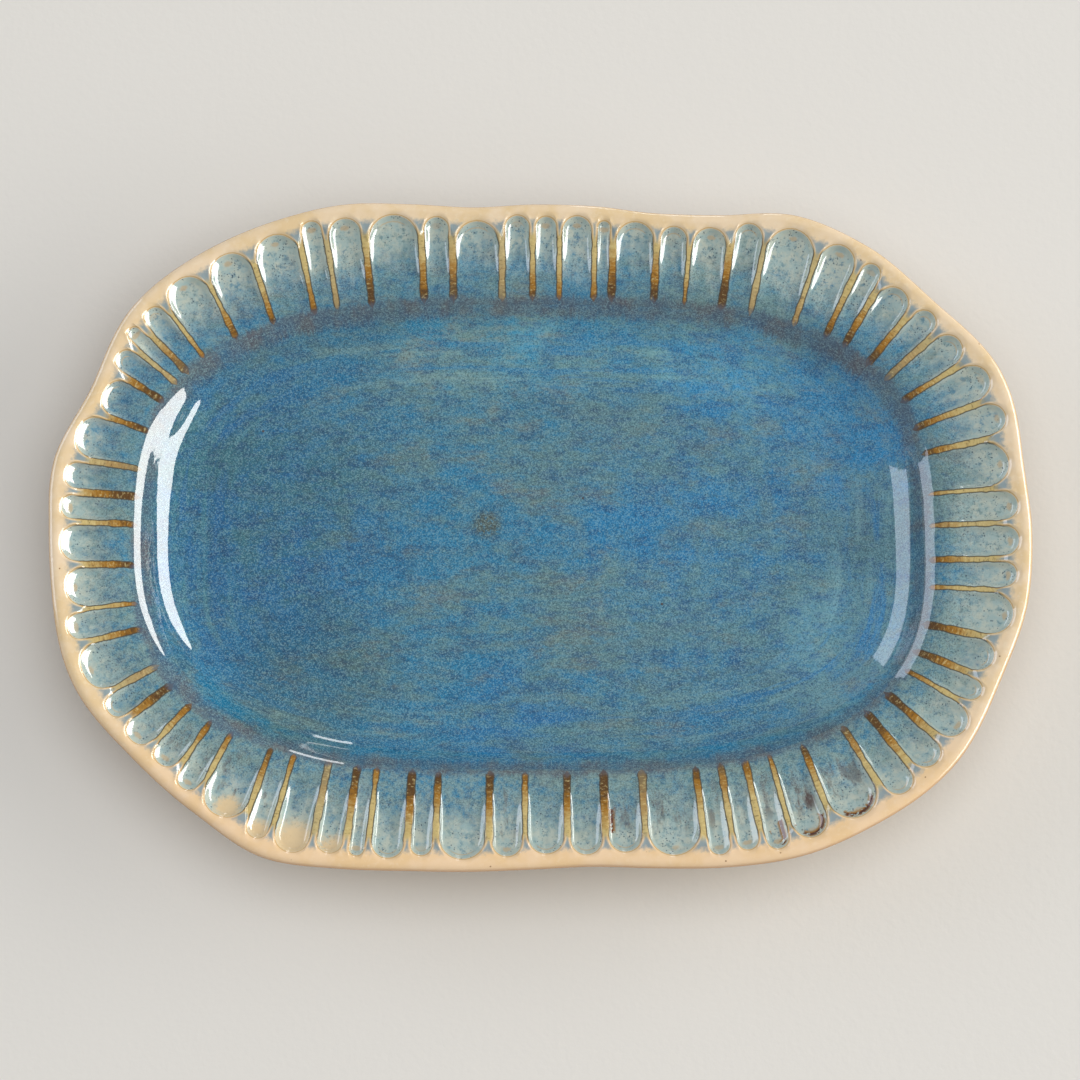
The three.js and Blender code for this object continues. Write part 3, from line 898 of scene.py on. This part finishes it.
def rimFinish(name):
    # ridges, troughs and lip in one finish, told apart by the distance in from the flutes' outlines
    material, paint, place = newMaterial(name)
    labels = ("out", "inset", "cusp", "edgeGap", "seed", "ridgeSeed", "endGap", "toolSpot", "land")
    facts = (fact(paint, label) for label in labels)
    out, inset, cusp, edgeGap, seed, ridgeSeed, endGap, toolSpot, land = facts
    spine = fact(paint, "spine", "Vector")
    ragged = noise(place, *rimMarks["raggedEdge"]) - 0.5
    drift = cusp + ragged * 4.0
    pool = ease(drift, 0.3, 3.5) * ease(inset, -0.5, -1.3) * lipLook["shares"]["pool"]
    outer = blend(pool, lipColour(place, edgeGap), lipLook["pool"])
    ridge = blend(ease(drift, 8.5, 4.5), ridgeColour(spine, out, ridgeSeed), outer)
    uneven = (noise(spine, *ridgeLook["uneven"]) - 0.5) * 1.6 + (ridgeSeed - 0.5) * 0.6
    uneven = uneven + land - ridgeLook["half"]
    tapered = inset + ease(out + ragged * 2.0, 2.8, 0.3) * 1.5 + uneven * ease(cusp, 3.0, 8.0)
    trough = troughColour(place, spine, out, inset, seed, endGap, toolSpot)
    colour = blend(ease(tapered, -0.05, 0.25), ridge, trough)
    lineAt = tapered + ragged * 0.3
    sideLine = between(lineAt, -0.15, 0.35, 0.12) * ease(cusp, 2.5, 7.0) * ease(out, 1.0, 3.0)
    colour = blend(sideLine * ridgeLook["edgeShare"], colour, ridgeLook["edgeLine"])
    endLine = between(lineAt, -0.35, -0.05, 0.12) * ease(cusp, 10.0, 6.0)
    colour = blend(endLine * lipLook["shares"]["line"], colour, lipLook["line"])
    colour = markedRim(colour, place, spine, out, inset, seed, ragged)
    blueShare = ease(tapered, 0.0, 0.4) * ease(out, 28.0, 12.0) * 0.8
    colour = grained(shoulderHaze(colour, spine, out), place, blueShare)
    finishMaterial(paint, colour, noise(place, ripple["size"]))
    return material


backLook = {
    "tan": "c9a97c", "pale": "dcc195",
    "clouds": (14.0, 4.0, 0.6),
    "specks": (4.0, 0.5, 0.4),
    "speckShare": 0.8,
    "fixed": {"Roughness": 0.14},
}


def backFinish():
    material, paint, place = newMaterial("backGlaze")
    colour = blend(ease(noise(place, *backLook["clouds"]), 0.35, 0.65), backLook["tan"], backLook["pale"])
    colour = blend(specks(place, *backLook["specks"]) * backLook["speckShare"], colour, lipLook["iron"])
    finishMaterial(paint, colour, noise(place, ripple["size"]), fixed=backLook["fixed"])
    return material


clayLook = {
    "buff": "b8946c", "dark": "a57f58", "iron": "5d3a20",
    "clouds": (8.0, 3.0, 0.6),
    "specks": (2.2, 0.35, 0.3),
    "speckShare": 0.7,
    "grog": (0.9, 3.0, 0.6),
    "grogDepth": 0.0002,
    "fixed": {"Roughness": 0.85},
}


def clayFinish(name):
    material, paint, place = newMaterial(name)
    colour = blend(ease(noise(place, *clayLook["clouds"]), 0.35, 0.65), clayLook["buff"], clayLook["dark"])
    colour = blend(specks(place, *clayLook["specks"]) * clayLook["speckShare"], colour, clayLook["iron"])
    grog = noise(place, *clayLook["grog"])
    finishMaterial(paint, colour, grog, clayLook["grogDepth"], clayLook["fixed"])
    return material


pieces = {
    "well_glaze": (wellCoat, "well_blue", wellFinish()),
    "flute_glaze": (flutedBand, "flute_blue", rimFinish("fluteGlaze")),
    "lip_glaze": (lipBand, "lip_tan", rimFinish("lipGlaze")),
    "underside_glaze": (backCoat, "back_tan", backFinish()),
    "foot_recess_glaze": (recessPiece, "back_tan", backFinish()),
    "foot_ring": (footPiece, "bare_foot", clayFinish("bareFoot")),
    "stoneware_body": (clayPiece, "stoneware", clayFinish("bodyClay")),
}
for node, (piece, slotName, material) in pieces.items():
    piece.data.materials.append(material)
    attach(piece, "root")
    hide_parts(node)
print("pieces:", {piece.name: len(piece.data.polygons) for piece, slotName, material in pieces.values()})

studio = {
    "floorSize": 30.0,
    "floorColour": "dedbd5",
    "floorGrain": (3.0, 0.0001),  # its size in millimetres, and its depth in metres
    "floorRoughness": 0.8,
    "worldLevel": 0.25,
    "lamps": {
        "keyLight": {"place": (6.39, 0.72, 2.35), "towards": (0, 0.72, 2.35), "size": (10.8, 2.88),
                     "shape": "ELLIPSE", "power": 480.0, "colour": "fffdf8"},
        "sideLight": {"place": (-6.39, 3.8, 2.87), "towards": (0, 3.8, 2.87), "size": (6.8, 4.8),
                      "shape": "RECTANGLE", "power": 216.0, "colour": "e6efff"},
        "backLight": {"place": (0.19, 1.95, 0.19), "towards": (0, 0, 0.03), "size": (0.2, 0.36),
                      "shape": "RECTANGLE", "power": 0.9, "colour": "ffffff"},
        "fillLight": {"place": (0.3, -0.1, 2.4), "towards": (0, 0, 0), "size": (3.0, 3.0),
                      "shape": "ELLIPSE", "power": 35.0, "colour": "ffffff", "glossy": False},
    },  # the overhead fill leaves no bright patch in the glaze
    "eye": (0.0001, -0.2927, 1.3944),
    "target": (0.00007, -0.00163, 0.025),
    "lens": 120.5,
    "sensor": 36.0,
}


def studioFloor():
    half = studio["floorSize"] / 2
    mesh = bpy.data.meshes.new("floor")
    corners = [(-half, -half, 0), (half, -half, 0), (half, half, 0), (-half, half, 0)]
    mesh.from_pydata(corners, [], [(0, 1, 2, 3)])
    floor = bpy.data.objects.new("floor", mesh)
    bpy.context.scene.collection.objects.link(floor)
    material, paint, place = newMaterial("floorPaint")
    size, depth = studio["floorGrain"]
    fixed = {"Roughness": studio["floorRoughness"]}
    finishMaterial(paint, tint(studio["floorColour"]), noise(place, size), depth, fixed)
    floor.data.materials.append(material)


def aim(thing, place, towards):
    # into the scene, turned towards a point
    thing.location = place
    thing.rotation_euler = (Vector(towards) - Vector(place)).to_track_quat("-Z", "Y").to_euler()
    bpy.context.scene.collection.objects.link(thing)


def softLight(name, place, towards, size, shape, power, colour, glossy=True):
    data = bpy.data.lights.new(name, "AREA")
    data.shape = shape
    data.size, data.size_y = size
    data.energy = power
    data.color = tint(colour)[:3]
    lamp = bpy.data.objects.new(name, data)
    lamp.visible_glossy = glossy
    aim(lamp, place, towards)


def studioCamera():
    camera = bpy.data.objects.new("camera", bpy.data.cameras.new("camera"))
    camera.data.sensor_width = studio["sensor"]
    camera.data.lens = studio["lens"]
    aim(camera, studio["eye"], studio["target"])
    bpy.context.scene.camera = camera


def studioWorld():
    world = bpy.data.worlds.new("studioWorld")
    world.use_nodes = True
    background = world.node_tree.nodes["Background"].inputs
    background["Color"].default_value = (1, 1, 1, 1)
    background["Strength"].default_value = studio["worldLevel"]
    bpy.context.scene.world = world


studioFloor()
for lampName, lamp in studio["lamps"].items():
    softLight(lampName, **lamp)
studioCamera()
studioWorld()
bpy.context.scene.view_settings.view_transform = "Standard"
print("studio ready")
